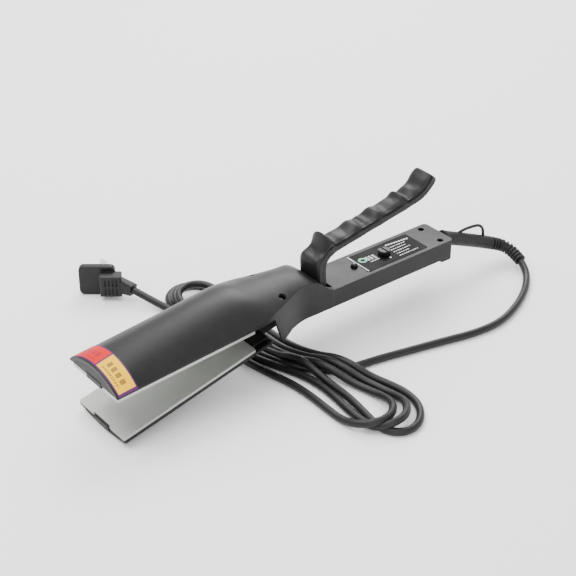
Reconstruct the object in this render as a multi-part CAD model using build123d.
from build123d import *
import os
from math import sin, cos, tan, pi, radians

# Hand-clamp impulse heat sealer.  Millimetres, +Z up, +X towards the cord end, +Y the far side.
# It is laid out with x = 0 at the jaw front and z = 0 on the table; save() then moves it along X
# so that the origin lies under the middle of the casing.

# lengths along the casing
jaw_length = 150.0
neck_length = 83.0
box_length = 142.0
box_x = jaw_length + neck_length
rear_x = box_x + box_length

# casing section
jaw_half = 35.6
box_half = 19.5
box_depth = 17.3
wall = 2.2
rim_gap = 4.6            # from the sealing plane up to the rim of the upper jaw
corner_radius = 4.0      # upright corners at the rear of the box

# hinge
jaw_slope = 4.05         # degrees, upper jaw, rising to the rear
open_angle = 8.9         # degrees between the jaws at rest
pivot_back = 3.0         # hinge axis behind the start of the box
pivot_drop = 16.1        # hinge axis below the sealing plane
pivot_below_top = 7.6    # hinge axis below the top of the box
pin_radius = 2.5
pin_fit = 0.05
bush_wall = 1.0
hub_radius = pivot_below_top - wall - 0.4
hub_half = 12.0

# sealing plates and what heats them
plate_length = 135.5
plate_half = 33.5
plate_inset = 1.2        # behind the jaw front
upper_plate_thick = 4.3
lower_plate_thick = 2.6
touch_gap = 0.3          # left between the plates when the jaws are shut
heater_half = 11.0
heater_thick = 2.4
insulator_half = 18.0
insulator_thick = 1.0
heater_margin = 8.0      # heater ends inside the plate ends

# lower jaw shell
lower_half = 34.2
lower_rim = 2.3
lower_depth = 10.3       # from the sealing face to the lowest point of its belly
lower_wall = 2.0
lower_tail = 17.0        # shell behind the plate
cap_thick = 2.6

# fasteners
screw_head = 2.5
screw_head_high = 1.8
screw_shank = 1.4
recess_radius = 2.8
shoulder_recess = 3.3
boss_wall = 1.5

# control panel
label_front = 42.5       # from the start of the box
label_length = 71.0
label_half = 15.3
label_thick = 0.3
knob_at = 74.0
knob_radius = 5.6
knob_height = 4.2
knob_shaft = 2.9
knob_gap = 0.4
button_at = 38.5
button_radius = 3.0
button_rise = 3.4
button_travel = 1.5
button_pin = 1.4
hole_play = 0.3
board_thick = 1.6
board_below_top = 11.0

# grip
grip_half = 13.0
strip_high = 4.5         # flat half of the grip
strip_edge = 0.9
stem_gap = 0.8           # slot play beside the stem

# return spring
spring_length = 20.4
spring_turns = 7
spring_radius = 3.6
spring_wire = 0.7

# cord
cord_radius = 3.5
boot_radius = 6.5
boot_below_top = 8.0
boot_core = 5.2
boot_neck = 4.6          # through the rear wall
boot_flange = 5.4        # inside the rear wall
collar_radii = (7.4, 6.6)
collar_long = 8.0
rib_count = 9
rib_pitch = 4.1
rib_radius = 6.6
rib_taper = 0.12         # each rib's radius below the one before it
rib_thick = 2.2
loop_radius = 1.5
plug_half_width = 17.0
plug_half_height = 15.0

# heights that follow from the jaw tip standing on the table
pivot_x = box_x + pivot_back
rest_slope = jaw_slope + open_angle
tip = (pivot_x - plate_inset - pivot_drop * sin(radians(jaw_slope))) / cos(radians(jaw_slope))
pivot_z = (tip + plate_inset) * sin(radians(rest_slope))
pivot_z -= (pivot_drop - lower_depth) * cos(radians(rest_slope))
box_top = pivot_z + pivot_below_top
box_bottom = box_top - box_depth
roof = box_top - wall
board_top = box_top - board_below_top


os.makedirs("parts", exist_ok=True)


def save(name, shape):
    """Writes one piece with the origin moved under the middle of the casing."""
    moved = Pos(-rear_x / 2, 0, 0) * shape
    moved.label = name
    export_step(moved, f"parts/{name}.step")


def group(shapes):
    return Compound(children=list(shapes))


def rod(x, y, z, radius, height):
    """Upright cylinder standing on z."""
    return Pos(x, y, z) * Cylinder(radius, height, align=(Align.CENTER, Align.CENTER, Align.MIN))


def block(x0, x1, half, z0, z1):
    """Box from x0 to x1, symmetric in y."""
    return Pos((x0 + x1) / 2, 0, (z0 + z1) / 2) * Box(x1 - x0, 2 * half, z1 - z0)


def side_prism(points, half, roundings=()):
    """Outline in the XZ plane, extruded to both sides; roundings are (point number, radius)."""
    outline = make_face(Polyline(*points, close=True))
    for number, radius in roundings:
        x, z = points[number]
        corner = outline.vertices().sort_by_distance((x, z, 0))[0]
        outline = fillet(corner, radius)
    return extrude(Plane.XZ * outline, half, both=True)


def swung(angle):
    """Place of the hinge, turned so that the sealing plane rises to the rear by this angle."""
    return Pos(pivot_x, 0, pivot_z) * Rot(0, -angle, 0)


def seal_plane(x):
    """Height of the upper sealing plane over the table."""
    slope = radians(jaw_slope)
    return pivot_z + pivot_drop * cos(slope) + (x - pivot_x + pivot_drop * sin(slope)) * tan(slope)


# ---------------------------------------------------------------- casing

# share of the jaw length, half width, height of the top's edge and crown over the sealing plane
jaw_stations = [
    (0.00, 1.000, 6.2, 18.0),
    (0.10, 1.000, 6.4, 20.6),
    (0.25, 1.000, 6.4, 22.4),
    (0.45, 1.000, 6.3, 24.4),
    (0.65, 1.000, 6.4, 26.2),
    (0.80, 1.000, 7.6, 27.0),
    (0.92, 0.998, 8.9, 25.9),
]
# share of the neck length, share of the narrowing, height of the edge and crown over the box top
neck_stations = [
    (0.00, 0.03, 12.0, 25.0),
    (0.13, 0.22, 13.3, 23.6),
    (0.29, 0.53, 14.6, 22.4),
    (0.45, 0.84, 16.2, 22.0),
    (0.60, 1.00, 16.8, 20.8),
    (0.72, 1.00, 15.6, 18.2),
    (0.82, 1.00, 10.6, 12.0),
    (0.91, 1.00, 3.8, 4.6),
    (1.00, 1.00, 0.0, 0.4),
]


def arched(x, half, low, edge, crown):
    """Cross-section of the casing: upright sides under an arched top."""
    sides = Polyline((-half, edge), (-half, low), (half, low), (half, edge))
    top = ThreePointArc((half, edge), (0, crown), (-half, edge))
    return Plane.YZ.offset(x) * make_face(sides + top)


def envelope(inset, low):
    """Outside of the casing, or its hollow when inset by the wall."""
    sections = []
    for share, width, edge, crown in jaw_stations:
        x = share * jaw_length
        plane = seal_plane(x) - inset
        sections.append(arched(x, jaw_half * width - inset, low, plane + edge, plane + crown))
    for share, narrowing, edge, crown in neck_stations:
        half = jaw_half + (box_half - jaw_half) * narrowing - inset
        top = box_top - inset
        sections.append(arched(jaw_length + share * neck_length, half, low, top + edge, top + crown))
    return loft(sections)


def casing_outline():
    """Side view of the casing: jaw rim, slanting front of the neck, its underside and the box."""
    points = [
        (-20, seal_plane(-20) + rim_gap),
        (jaw_length + 6, seal_plane(jaw_length + 6) + rim_gap),
        (jaw_length + 18, box_bottom - 5.6),
        (jaw_length + 33, box_bottom - 0.8),
        (jaw_length + 52, box_bottom),
        (rear_x + 20, box_bottom),
        (rear_x + 20, box_top + 60),
        (-20, box_top + 60),
    ]
    return side_prism(points, jaw_half + 10, [(1, 2), (2, 2), (3, 12)])


def slanted(x, y, z, tilt):
    """Place with its own Z tilted sideways, outwards from the middle."""
    return Pos(x, y, z) * Rot(tilt if y < 0 else -tilt, 0, 0)


shoulder_at = jaw_length + 23.3
shoulder_y = 18.6
shoulder_z = box_top + 11.8      # floor of the screw recess
shoulder_tilt = 32.0
cover_screw_x = rear_x - 11
cover_screw_y = 12.8
cover_recess = 6.0
spring_x = pivot_x - 45
spring_top = box_top + 14.5
clamp_x = rear_x - 21
clamp_screw_y = 8.6
clamp_boss = 2.9
clamp_top = box_top - boot_below_top - 0.6
clamp_high = 4.0
slot_front = pivot_x - 19.4
slot_rear = pivot_x - 1.6


def make_casing():
    low = box_bottom - 20
    outer = envelope(0, low)
    box_body = block(box_x - 0.5, rear_x, box_half, box_bottom, box_top)
    box_body = fillet(box_body.edges().filter_by(Axis.Z).group_by(Axis.X)[-1], corner_radius)
    outer = (outer + block(box_x - 0.5, rear_x - 12, box_half, low, box_top)) & casing_outline()
    outer = outer + box_body

    hollow = envelope(wall, low - 5)
    hollow += block(box_x - 1, rear_x - wall, box_half - wall, low - 5, roof)
    shell = outer - hollow

    # bosses hang inside and never show through the skin
    bosses = []
    for side in (-1, 1):
        place = slanted(shoulder_at, side * shoulder_y, shoulder_z, shoulder_tilt)
        bosses.append(place * rod(0, 0, -boss_wall, shoulder_recess + boss_wall, 16))
        bosses.append(rod(cover_screw_x, side * cover_screw_y, roof - cover_recess - 1.5,
                          recess_radius + boss_wall, cover_recess + 2))
        ear = Pos(pivot_x, side * (hub_half + 0.6 + box_half - 1) / 2, pivot_z)
        ear_width = box_half - 1 - hub_half - 0.6
        bosses.append(ear * Rot(90, 0, 0) * Cylinder(hub_radius - 0.4, ear_width))
        bosses.append(rod(clamp_x, side * clamp_screw_y, clamp_top, clamp_boss, boot_below_top))
    bosses.append(rod(spring_x, 0, spring_top, 6.0, 40))
    inside = (envelope(wall / 2, low) + block(box_x - 1, rear_x - 1, box_half - 1, low, roof + 1))
    for boss in bosses:
        shell += boss & inside

    for side in (-1, 1):
        place = slanted(shoulder_at, side * shoulder_y, shoulder_z, shoulder_tilt)
        shell -= place * rod(0, 0, 0, shoulder_recess, 20)
        shell -= place * Cylinder(screw_shank, 30)
        x, y = cover_screw_x, side * cover_screw_y
        shell -= rod(x, y, roof - cover_recess, recess_radius, 20)
        shell -= rod(x, y, roof - cover_recess - 5, screw_shank, 20)
        shell -= rod(clamp_x, side * clamp_screw_y, clamp_top - 1, screw_shank, 6)
    shell -= Pos(pivot_x, 0, pivot_z) * Rot(90, 0, 0) * Cylinder(pin_radius, 2 * (box_half - 1.2))
    shell -= block(slot_front, slot_rear, grip_half + stem_gap, box_top - 6, box_top + 40)
    shell -= rod(box_x + knob_at, 0, roof - 5, knob_shaft + hole_play, 20)
    shell -= rod(box_x + button_at, 0, roof - 5, button_radius + hole_play, 20)
    boot_hole = Pos(rear_x, 0, box_top - boot_below_top) * Rot(0, 90, 0) * Cylinder(boot_neck, 12)
    return shell - boot_hole


def bottom_cover():
    """Closes the box from below and ends in the heel."""
    cover = block(pivot_x - hub_radius - 2, rear_x - wall - hole_play, box_half - wall - hole_play,
                  box_bottom, box_bottom + 2)
    heel = block(rear_x - 16, rear_x, box_half, box_bottom - 2.4, box_bottom)
    heel = fillet(heel.edges().filter_by(Axis.Z).group_by(Axis.X)[-1], corner_radius)
    heel = chamfer(heel.edges().filter_by(Axis.Y).group_by(Axis.Z)[0].sort_by(Axis.X)[0], 2.3)
    cover += heel
    for side in (-1, 1):
        x, y = cover_screw_x, side * cover_screw_y
        cover += rod(x, y, box_bottom, 3.4, box_depth - wall - cover_recess - 1.8)
        cover -= rod(x, y, box_bottom + 1, screw_shank, box_depth)
    return cover


def screw(place, length):
    """Pan head standing on the place, shank below it."""
    head = rod(0, 0, 0, screw_head, screw_head_high)
    head = fillet(head.edges().group_by(Axis.Z)[-1], 0.7)
    slot = Pos(0, 0, screw_head_high) * (Box(3.0, 0.8, 1.4) + Box(0.8, 3.0, 1.4))
    return place * (head + rod(0, 0, -length, screw_shank, length) - slot)


def shoulder_screws():
    return group(screw(slanted(shoulder_at, side * shoulder_y, shoulder_z, shoulder_tilt), 6.6)
                 for side in (-1, 1))


def cover_screws():
    return group(screw(Pos(cover_screw_x, side * cover_screw_y, roof - cover_recess), 7)
                 for side in (-1, 1))


# ---------------------------------------------------------------- upper jaw, in its own tilt

def upper(shape):
    """Puts a piece drawn along the hinge's own axes into the upper jaw."""
    return swung(jaw_slope) * shape


def lower(shape):
    """Puts a piece drawn with the jaws shut into the open lower jaw."""
    return swung(rest_slope) * shape


plate_rear = -(tip - plate_length)
seal_up = pivot_drop + touch_gap / 2
seal_down = pivot_drop - touch_gap / 2
notch_half = 12.0


def plate(thick, low):
    """Sealing plate with rounded corners and a stepped front edge."""
    slab = block(-tip, plate_rear, plate_half, low, low + thick)
    slab = fillet(slab.edges().filter_by(Axis.Z), 1.5)
    return slab - block(-tip - 1, -tip + 1.2, notch_half, low - 1, low + thick + 1)


def front_fill(inset):
    """Hollow of the casing at the jaw front, down to the plate."""
    return envelope(inset, box_bottom) & block(0.4, 0.4 + cap_thick, jaw_half, box_bottom, box_top + 60)


def upper_end_cap():
    room = upper(block(-tip - 9, -tip + 9, jaw_half, seal_up + upper_plate_thick, seal_up + 60))
    cap = front_fill(wall) & room
    tab = upper(block(-tip - 0.8, -tip + 0.9, notch_half - 1.5, seal_up + 1.2, seal_up + 6))
    return cap + tab - upper(plate(upper_plate_thick, seal_up))


carrier_low = seal_up + upper_plate_thick + heater_thick + insulator_thick
carrier_rear = -(pivot_x - shoulder_at) + 6


def heater(low):
    strip = block(-tip + heater_margin, plate_rear - heater_margin, heater_half, low, low + heater_thick)
    return fillet(strip.edges().filter_by(Axis.Z), 2)


def insulator(low):
    return block(-tip + heater_margin / 2, plate_rear - heater_margin / 2, insulator_half,
                 low, low + insulator_thick)


def plate_screw_places(low, up):
    """Two rows of screws that pull a plate to its carrier, beside the heater."""
    return [Pos(x, y, low) * Rot(0 if up else 180, 0, 0)
            for x in (-tip + 22, plate_rear - 14) for y in (-14.6, 14.6)]


def carrier():
    """Moulded tray that holds plate, heater and insulator and is screwed to the shoulders."""
    tray = block(-tip + 16, carrier_rear, insulator_half + 1, carrier_low, carrier_low + 2)
    tray = upper(tray)
    under = boss_wall + 0.1
    for side in (-1, 1):
        place = slanted(shoulder_at, side * shoulder_y, shoulder_z, shoulder_tilt)
        tray -= place * rod(0, 0, -under, shoulder_recess + boss_wall + 0.3, 20)
        tray += place * rod(0, 0, -under - 2.0, shoulder_recess + boss_wall + 1.6, 2.0)
        tray += place * rod(0, 0, -7.0, 3.0, 7.0 - under)
    return tray & envelope(wall + 0.4, box_bottom)


def upper_plate_screws():
    return group(upper(screw(place, heater_thick + insulator_thick + 2.4))
                 for place in plate_screw_places(carrier_low + 2, True))


def make_upper_jaw():
    screws = upper_plate_screws()
    shoulder = shoulder_screws()
    save("upper_end_cap", upper_end_cap())
    save("upper_plate", upper(plate(upper_plate_thick, seal_up)) - screws)
    save("upper_heater", upper(heater(seal_up + upper_plate_thick)))
    save("upper_insulator", upper(insulator(seal_up + upper_plate_thick + heater_thick)) - screws)
    save("plate_carrier", carrier() - screws - shoulder)
    save("upper_plate_screws", screws)
    save("shoulder_screws", shoulder)


# ---------------------------------------------------------------- lower jaw and lever

tail_rear = plate_rear + lower_tail


def belly(x0, x1, half, top, inset):
    """Lower jaw section pulled along: flat top, upright rims and a bellied underside."""
    rim = seal_down - lower_plate_thick - lower_rim + inset
    low = seal_down - lower_depth + inset
    outline = Polyline((-half, rim), (-half, top), (half, top), (half, rim))
    bottom = ThreePointArc((half, rim), (0, low), (-half, rim))
    return extrude(Plane.YZ.offset(x0) * make_face(outline + bottom), x1 - x0)


def lower_jaw_shell():
    top = seal_down - lower_plate_thick
    shell = belly(-tip, tail_rear, lower_half, top, 0)
    shell = fillet(shell.edges().filter_by(Axis.Z).group_by(Axis.X)[-1], 1.8)
    shell += block(plate_rear + hole_play, tail_rear, plate_half - 6, top, seal_down - 1)
    rear_wall = tail_rear - 3
    shell -= belly(-tip - 1, rear_wall, lower_half - lower_wall, top + 0.01, lower_wall)
    shell -= block(plate_rear + 2 + hole_play, rear_wall, plate_half - 8, top - 1, seal_down - 3)
    for place in frame_screw_places():
        shell -= place * Cylinder(screw_shank, 20)
        shell -= place * rod(0, 0, 0, screw_head + 0.2, screw_head_high + 0.3)
    return shell


def lower_end_cap():
    top = seal_down - lower_plate_thick
    cap = belly(-tip + 0.3, -tip + 0.3 + cap_thick, lower_half - lower_wall, top, lower_wall)
    return cap + block(-tip - 0.9, -tip + 1.1, notch_half - 1.5, top - 3, top + 1.2)


def frame_screw_places():
    """Screws through the rear wall of the lower jaw into the lever frame."""
    return [Pos(tail_rear - 3, y, seal_down - 6.3) * Rot(0, -90, 0) for y in (-8, 8)]


def frame_screws():
    return group(lower(screw(place, 10)) for place in frame_screw_places())


stem_front = -17.2
stem_rear = -6.2
stem_foot = 5.4


def lever_frame():
    """Rocker: hub on the pin, web to the lower jaw, upstand under the grip's stem."""
    reach = tail_rear
    web = side_prism([
        (reach, seal_down - 2.9), (reach, seal_down - 10.6),
        (reach + 27, 3.8), (-9, -5.2), (0, -hub_radius), (0, hub_radius), (-26, 9.4)], hub_half)
    frame = lower(web)
    hub = Pos(pivot_x, 0, pivot_z) * Rot(90, 0, 0) * Cylinder(hub_radius, 2 * hub_half)
    frame += hub
    frame += block(pivot_x + stem_front + 0.6, pivot_x + stem_rear, hub_half,
                   pivot_z - 2, pivot_z + stem_foot)
    bush_hole = Pos(pivot_x, 0, pivot_z) * Rot(90, 0, 0)
    frame -= bush_hole * Cylinder(pin_radius + bush_wall, 2 * hub_half + 1)
    for place in frame_screw_places():
        frame -= lower(place * Cylinder(screw_shank, 20))
    return frame - lower(lower_jaw_shell())


def pivot_bushes():
    """Two plain bushes in the hub, running on the pin."""
    bushes = []
    for side in (-1, 1):
        ring = Cylinder(pin_radius + bush_wall, 8) - Cylinder(pin_radius + pin_fit, 9)
        bushes.append(Pos(pivot_x, side * (hub_half - 4), pivot_z) * Rot(90, 0, 0) * ring)
    return group(bushes)


def pivot_pin():
    pin = Pos(pivot_x, 0, pivot_z) * Rot(90, 0, 0) * Cylinder(pin_radius, 2 * (box_half - 1.4))
    return chamfer(pin.edges(), 0.4)


# grip: a point on its inner face from the hinge, direction there, thickness, half width, squareness
stem_stations = [
    (-6.2, 5.4, 90, 11.0, 13.0, 4.0),
    (-6.4, 8.5, 90, 11.0, 13.0, 4.0),
    (-6.7, 12.0, 90, 11.0, 13.0, 4.0),
    (-7.0, 16.0, 90, 11.0, 13.0, 4.0),
    (-7.4, 26.0, 89, 11.2, 13.0, 4.0),
    (-6.0, 32.0, 68, 12.0, 12.7, 3.8),
    (-1.5, 36.0, 34, 9.6, 12.0, 3.0),
]
end_stations = [
    (96.0, 55.0, 14, 9.6, 11.4, 2.0),
    (105.5, 58.2, 29, 10.2, 11.8, 2.2),
    (112.0, 63.0, 41, 10.6, 12.2, 2.4),
    (117.0, 68.2, 47, 10.6, 12.4, 2.6),
    (119.7, 71.2, 48, 10.0, 11.6, 2.6),
    (121.0, 72.6, 48, 8.6, 9.6, 2.4),
]
# four finger ridges between them
ridge_dx = 5.5
ridge_dz = 38.4
ridge_count = 4
ridge_pitch = 26.0
ridge_angle = 10.0
ridge_thick = 10.8
saddle_thick = 8.4
# share of the pitch behind a ridge, share of the ridge's rise, half width
ridge_shape = [(0.0, 1.0, 11.3), (0.2, 0.3, 11.1), (0.5, 0.0, 11.0), (0.8, 0.3, 11.1)]


def grip_stations():
    """Stem, ridges and turned-up end as one list of slices."""
    stations = list(stem_stations)
    for number in range(ridge_count):
        low = saddle_thick + 0.3 * number
        rise = ridge_thick + 0.6 * number - low
        last = number == ridge_count - 1
        for share, height, half in ridge_shape[:2] if last else ridge_shape:
            along = (number + share) * ridge_pitch
            stations.append((ridge_dx + along, ridge_dz + along * tan(radians(ridge_angle)),
                             ridge_angle, low + rise * height, half, 2.1))
    return stations + end_stations


def across_grip(station):
    """Plane across the grip with its own X to the far side and its Y out of the grip."""
    dx, dz, angle = station[:3]
    along = radians(angle)
    return Plane((pivot_x + dx, 0, pivot_z + dz), x_dir=(0, 1, 0), z_dir=(cos(along), 0, sin(along)))


def grip_section(station):
    """Slice across the grip: flat strip with broken edges under a dome, oval to squarish."""
    thick, half, square = station[3:]
    rise = thick - strip_high
    points = []
    for number in range(15):
        turn = pi * number / 14
        y = half * abs(cos(turn)) ** (2 / square) * (1 if number < 7 else -1)
        points.append((y, strip_high + rise * sin(turn) ** (2 / square)))
    points[0] = (half, strip_high)
    points[7] = (0, thick)
    points[14] = (-half, strip_high)
    dome = Spline(*points, tangents=[(0, 1), (0, -1)])
    strip = Polyline(points[14], (-half, strip_edge), (strip_edge - half, 0),
                     (half - strip_edge, 0), (half, strip_edge), points[0])
    return across_grip(station) * make_face(dome + strip)


def strip_room():
    """Space between the inner face of the grip and the parting line of its two halves."""
    stations = grip_stations()
    inner = []
    parting = []
    for dx, dz, angle, thick, half, square in stations:
        outward = (-sin(radians(angle)), cos(radians(angle)))
        for line, height in ((inner, -3), (parting, strip_high)):
            line.append((pivot_x + dx + height * outward[0], pivot_z + dz + height * outward[1]))
    for line in (inner, parting):
        last = radians(stations[-1][2])
        line.insert(0, (line[0][0], line[0][1] - 4))
        line.append((line[-1][0] + 4 * cos(last), line[-1][1] + 4 * sin(last)))
    outline = Spline(*parting) + Line(parting[-1], inner[-1])
    outline += Polyline(*inner[::-1]) + Line(inner[0], parting[0])
    return extrude(Plane.XZ * make_face(outline), 20, both=True)


def grip_halves():
    """Flat half with the foot of the stem, and domed half with the finger ridges."""
    grip = loft([grip_section(station) for station in grip_stations()])
    room = strip_room()
    return grip & room, grip - room


def make_lever():
    screws = frame_screws()
    top = seal_down - lower_plate_thick
    save("lower_plate", lower(plate(lower_plate_thick, top)))
    save("lower_heater", lower(heater(top - heater_thick)))
    save("lower_insulator", lower(insulator(top - heater_thick - insulator_thick)))
    save("lower_jaw_shell", lower(lower_jaw_shell()))
    save("lower_end_cap", lower(lower_end_cap()) - lower(plate(lower_plate_thick, top)))
    save("frame_screws", screws)
    save("lever_frame", lever_frame())
    save("pivot_bushes", pivot_bushes())
    base, cover = grip_halves()
    save("grip_base", base)
    save("grip_cover", cover)


# ---------------------------------------------------------------- inside the box and on its top

def control_board():
    board = block(box_x + 18, box_x + 104, box_half - wall - 1.5, board_top - board_thick, board_top)
    for x in (box_x + 52, box_x + 60, box_x + 92):
        board += rod(x, 9, board_top - 0.1, 3.0, 6.5)
    board += Pos(box_x + 95, -6, board_top + 2.4) * Box(12, 10, 5)
    return board


def potentiometer():
    body = rod(box_x + knob_at, 0, board_top, 8, 6)
    return body - rod(box_x + knob_at, 0, board_top + 1, knob_shaft + hole_play, 6)


def temperature_knob():
    low = box_top + label_thick + knob_gap
    knob = rod(box_x + knob_at, 0, low, knob_radius, knob_height)
    knob = fillet(knob.edges().group_by(Axis.Z)[-1], 0.8)
    knob -= Pos(box_x + knob_at, 0, low + knob_height) * Box(1.6, 2 * knob_radius, 2.0)
    return knob + rod(box_x + knob_at, 0, board_top + 1 + hole_play, knob_shaft, low - board_top - 1)


def push_button():
    """Domed cap over a collar that stops it under the roof, with a pin into the switch."""
    x = box_x + button_at
    cap = rod(x, 0, roof - 1.6, button_radius, wall + 1.6 + button_rise)
    cap = fillet(cap.edges().group_by(Axis.Z)[-1], 1.8)
    cap += rod(x, 0, roof - 1.6, button_radius + 1.2, 1.3)
    return cap + rod(x, 0, board_top + 2.2, button_pin, roof - board_top - 3)


def button_switch():
    """Push switch on the board, bored for the button's pin."""
    x = box_x + button_at
    body = Pos(x, 0, board_top + 2.2) * Box(7, 7, 4.4)
    return body - rod(x, 0, board_top + 0.3, button_pin + hole_play, 8)


def panel_label():
    label = block(box_x + label_front, box_x + label_front + label_length, label_half,
                  box_top, box_top + label_thick)
    label = fillet(label.edges().filter_by(Axis.Z), 1.5)
    return label - rod(box_x + knob_at, 0, box_top - 1, knob_shaft + hole_play, 5)


def jaw_label(y0, y1):
    """Thin band over the front of the upper jaw, between two heights across."""
    band = envelope(-0.25, box_bottom) - envelope(0, box_bottom - 5)
    window = Pos(10.3, (y0 + y1) / 2, box_top) * Box(18, y1 - y0, 80)
    keep = upper(block(-tip - 9, -tip + 30, jaw_half + 2, seal_up + rim_gap + 1.6, seal_up + 60))
    return band & window & keep


def return_spring():
    """Compression spring between the casing's seat and the lever frame."""
    height = spring_length - 2 * spring_wire
    path = Helix(pitch=height / spring_turns, height=height, radius=spring_radius)
    start = Plane(path @ 0, z_dir=path % 0)
    coil = sweep(start * Circle(spring_wire), path=path)
    return Pos(spring_x, 0, spring_top - spring_length + 0.5) * coil


def inner_cord():
    axis = Pos(rear_x - 30, 0, box_top - boot_below_top) * Rot(0, 90, 0)
    return axis * rod(0, 0, 0, cord_radius, 26.5 - wall)


def cord_clamp():
    """Saddle bar that holds the cord up between two bosses of the casing."""
    bar = block(clamp_x - 3, clamp_x + 3, 12, clamp_top - clamp_high, clamp_top)
    bar -= Pos(clamp_x, 0, box_top - boot_below_top) * Rot(0, 90, 0) * Cylinder(cord_radius, 12)
    for side in (-1, 1):
        bar -= rod(clamp_x, side * clamp_screw_y, clamp_top - 9, screw_shank, 10)
    return bar


def clamp_screws():
    return group(screw(Pos(clamp_x, side * clamp_screw_y, clamp_top - clamp_high) * Rot(180, 0, 0), 8.4)
                 for side in (-1, 1))


# ---------------------------------------------------------------- cord, plug and boot

boot_start = (rear_x + 4.0, 0, box_top - boot_below_top)
boot_route = [
    boot_start,
    (rear_x + 69, -4.5, 20.6),
    (rear_x + 83, -16, 13.2),
    (rear_x + 79.5, -32.5, 8.8),
]
lead_route = [
    boot_route[-1],
    (rear_x + 75.5, -43, 5.8),
    (rear_x + 66, -54.5, 3.5),
    (rear_x + 48, -68.5, 3.5),
    (rear_x + 23, -82, 3.5),
    (rear_x - 7, -91.5, 3.5),
    (rear_x - 37, -90, 3.5),
    (rear_x - 72, -81, 3.5),
    (rear_x - 103, -74, 3.5),
    (rear_x - 132, -67, 3.5),
    (rear_x - 159, -62.8, 3.5),
]
tail_route = [
    (rear_x - 226, 92, 3.5),
    (rear_x - 227.5, 107, 3.5),
    (rear_x - 233.5, 124, 6.0),
    (rear_x - 238.5, 137, 9.0),
    (rear_x - 242.5, 149, 11.2),
]


def bend_radii(points):
    """0.45 of the shorter run beside each corner over the tangent of half its turn."""
    places = [Vector(*point) for point in points]
    radii = []
    for before, here, after in zip(places, places[1:], places[2:]):
        run = min((here - before).length, (after - here).length)
        turn = (here - before).get_angle(after - here)
        radii.append(0.45 * run / tan(radians(turn / 2)))
    return radii


def tube(name, points, radius):
    """Round tube along straight runs joined by tangent arcs."""
    radii = bend_radii(points)
    path = FilletPolyline(*points, radius=radii)
    section = Plane(path @ 0, z_dir=path % 0) * Circle(radius)
    solid = sweep(section, path=path)
    expected = path.length * pi * radius ** 2
    print(name, "length", round(path.length, 1), "radii", [round(r) for r in radii],
          "volume ratio", round(solid.volume / expected, 4))
    return solid, path


def cable_boot():
    """Moulded strain relief: collar, plain barrel, ribbed tail and the flange inside the box."""
    barrel, path = tube("cable_boot", boot_route, boot_core)
    along = Vector(*boot_route[1]) - Vector(*boot_route[0])
    sleeve = Plane(boot_start, z_dir=along) * Pos(0, 0, 2) * rod(0, 0, 0, boot_radius, along.length - 8)
    collar = Pos(rear_x, 0, boot_start[2]) * Rot(0, 90, 0)
    boot = barrel + sleeve + collar * Cone(*collar_radii, collar_long,
                                           align=(Align.CENTER, Align.CENTER, Align.MIN))
    boot += collar * rod(0, 0, -wall - 3, boot_neck, wall + 4)
    boot += collar * rod(0, 0, -wall - 3, boot_flange, 3)
    plain = along.length - 4
    for number in range(rib_count):
        at = (plain + 1 + number * rib_pitch) / path.length
        boot += Plane(path @ at, z_dir=path % at) * Cylinder(rib_radius - rib_taper * number, rib_thick)
    return boot, path


def hanging_loop(boot):
    """Rubber loop over the barrel, by which the tool hangs on a hook."""
    points = [
        (rear_x + 15, -1.5, 41.5),
        (rear_x + 25, -2, 46.5),
        (rear_x + 47, -3.0, 46.5),
        (rear_x + 55.5, -3.6, 39.5),
        (rear_x + 55, -4.0, 27.0),
    ]
    path = FilletPolyline(*points, radius=[7, 7, 6])
    ring = sweep(Plane(path @ 0, z_dir=path % 0) * Circle(loop_radius), path=path)
    return ring - boot


def cord_hank():
    """Closed outer shape of the hank: three long turns lying flat, fanned at the near end."""
    middle = rear_x - 180
    outline = [
        (middle - 47, 120), (middle - 46, -10), (middle - 38, -60), (middle - 41, -120),
        (middle - 22, -150), (middle + 6, -164), (middle + 28, -150), (middle + 38, -118),
        (middle + 26, -60), (middle + 8, 0), (middle + 4, 112), (middle - 14, 138), (middle - 34, 138),
    ]
    face = make_face(Polyline(*outline, close=True))
    face = fillet(face.vertices(), 9)
    hank = extrude(face, 15)
    return chamfer(hank.edges().group_by(Axis.Z)[-1], 2.5)


plug_turn = -38.3         # degrees, the cord side of the plug from the X axis
plug_place = Pos(rear_x - 263.4, 178, 0) * Rot(0, 0, plug_turn)
plug_thick = 6.0
grip_block = (3.5, 23.5, 4.0, 25.0)      # gripped block: from and to along the plug, low, high
grip_block_deep = 11.0


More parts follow.
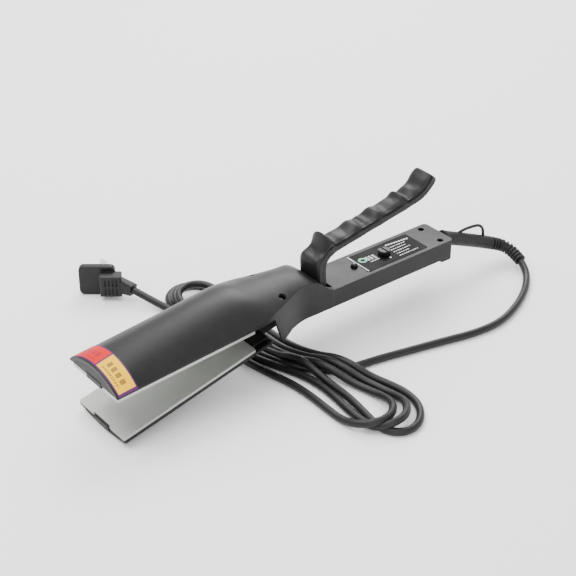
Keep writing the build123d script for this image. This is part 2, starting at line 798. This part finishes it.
def plug_body():
    """Angled plug: rounded face plate, slotted block behind it and a collar towards the cord."""
    face = Plane.XZ * Pos(0, plug_half_height) * RectangleRounded(
        2 * plug_half_width, 2 * plug_half_height, 5)
    plate = Pos(0, plug_thick, 0) * extrude(face, plug_thick)
    plate = fillet(plate.edges().group_by(Axis.Y)[0], 1.5)
    front, rear, low, high = grip_block
    middle = (low + high) / 2
    body = Pos((front + rear) / 2, -grip_block_deep / 2 + 0.5, middle) * Box(
        rear - front, grip_block_deep + 1, high - low)
    body = fillet(body.edges().group_by(Axis.Y)[0] + body.edges().filter_by(Axis.Z).group_by(Axis.X)[-1],
                  1.8)
    for number in range(4):
        x = front + 5.4 + 3.5 * number
        for z in (middle - 4.4, middle + 4.4):
            body -= Pos(x, -grip_block_deep, z) * Box(1.5, 2.6, 7)
    end = plug_place.inverse() * Pos(*tail_route[-1])
    before = plug_place.inverse() * Pos(*tail_route[-2])
    cord_end = Plane(end.position, x_dir=(0, 0, 1), z_dir=before.position - end.position)
    collar = loft([
        Plane((rear - 1.5, -5.5, middle), x_dir=(0, 0, 1), z_dir=(1, 0, 0)) * RectangleRounded(15, 9.5, 2),
        cord_end * RectangleRounded(10.5, 10.0, 2),
    ])
    return plug_place * (plate + body + collar)


def plug_pins():
    """Earth blade and two slanted blades."""
    length = 18.0
    centre = plug_thick + length / 2
    blades = [Pos(-9, centre, plug_half_height) * Box(6.4, length, 1.6)]
    for side in (-1, 1):
        blades.append(Pos(4, centre, plug_half_height + side * 7.9)
                      * Rot(0, side * 30, 0) * Box(6.4, length, 1.6))
    return plug_place * group(blades)


save("casing", make_casing())
save("bottom_cover", bottom_cover())
save("cover_screws", cover_screws())
make_upper_jaw()
make_lever()
save("pivot_pin", pivot_pin())
save("return_spring", return_spring())
save("control_board", control_board())
save("potentiometer", potentiometer())
save("temperature_knob", temperature_knob())
save("push_button", push_button())
save("button_switch", button_switch())
save("panel_label", panel_label())
save("jaw_label_near", jaw_label(-jaw_half - 1, -1.5))
save("jaw_label_far", jaw_label(-1.5, jaw_half + 1))
save("inner_cord", inner_cord())
save("cord_clamp", cord_clamp())
save("clamp_screws", clamp_screws())
boot, boot_path = cable_boot()
save("cable_boot", boot)
save("hanging_loop", hanging_loop(boot))
hank = cord_hank()
lead, lead_path = tube("power_cord", lead_route, cord_radius)
tail, tail_path = tube("cord_tail", tail_route, cord_radius)
save("power_cord", lead - hank - boot)
save("cord_tail", tail - hank - plug_body())
save("cord_hank", hank)
save("plug_body", plug_body())
save("plug_pins", plug_pins())
print("hinge at", round(pivot_x - rear_x / 2, 3), round(pivot_z, 3))
print("box top", round(box_top, 3), "bottom", round(box_bottom, 3))
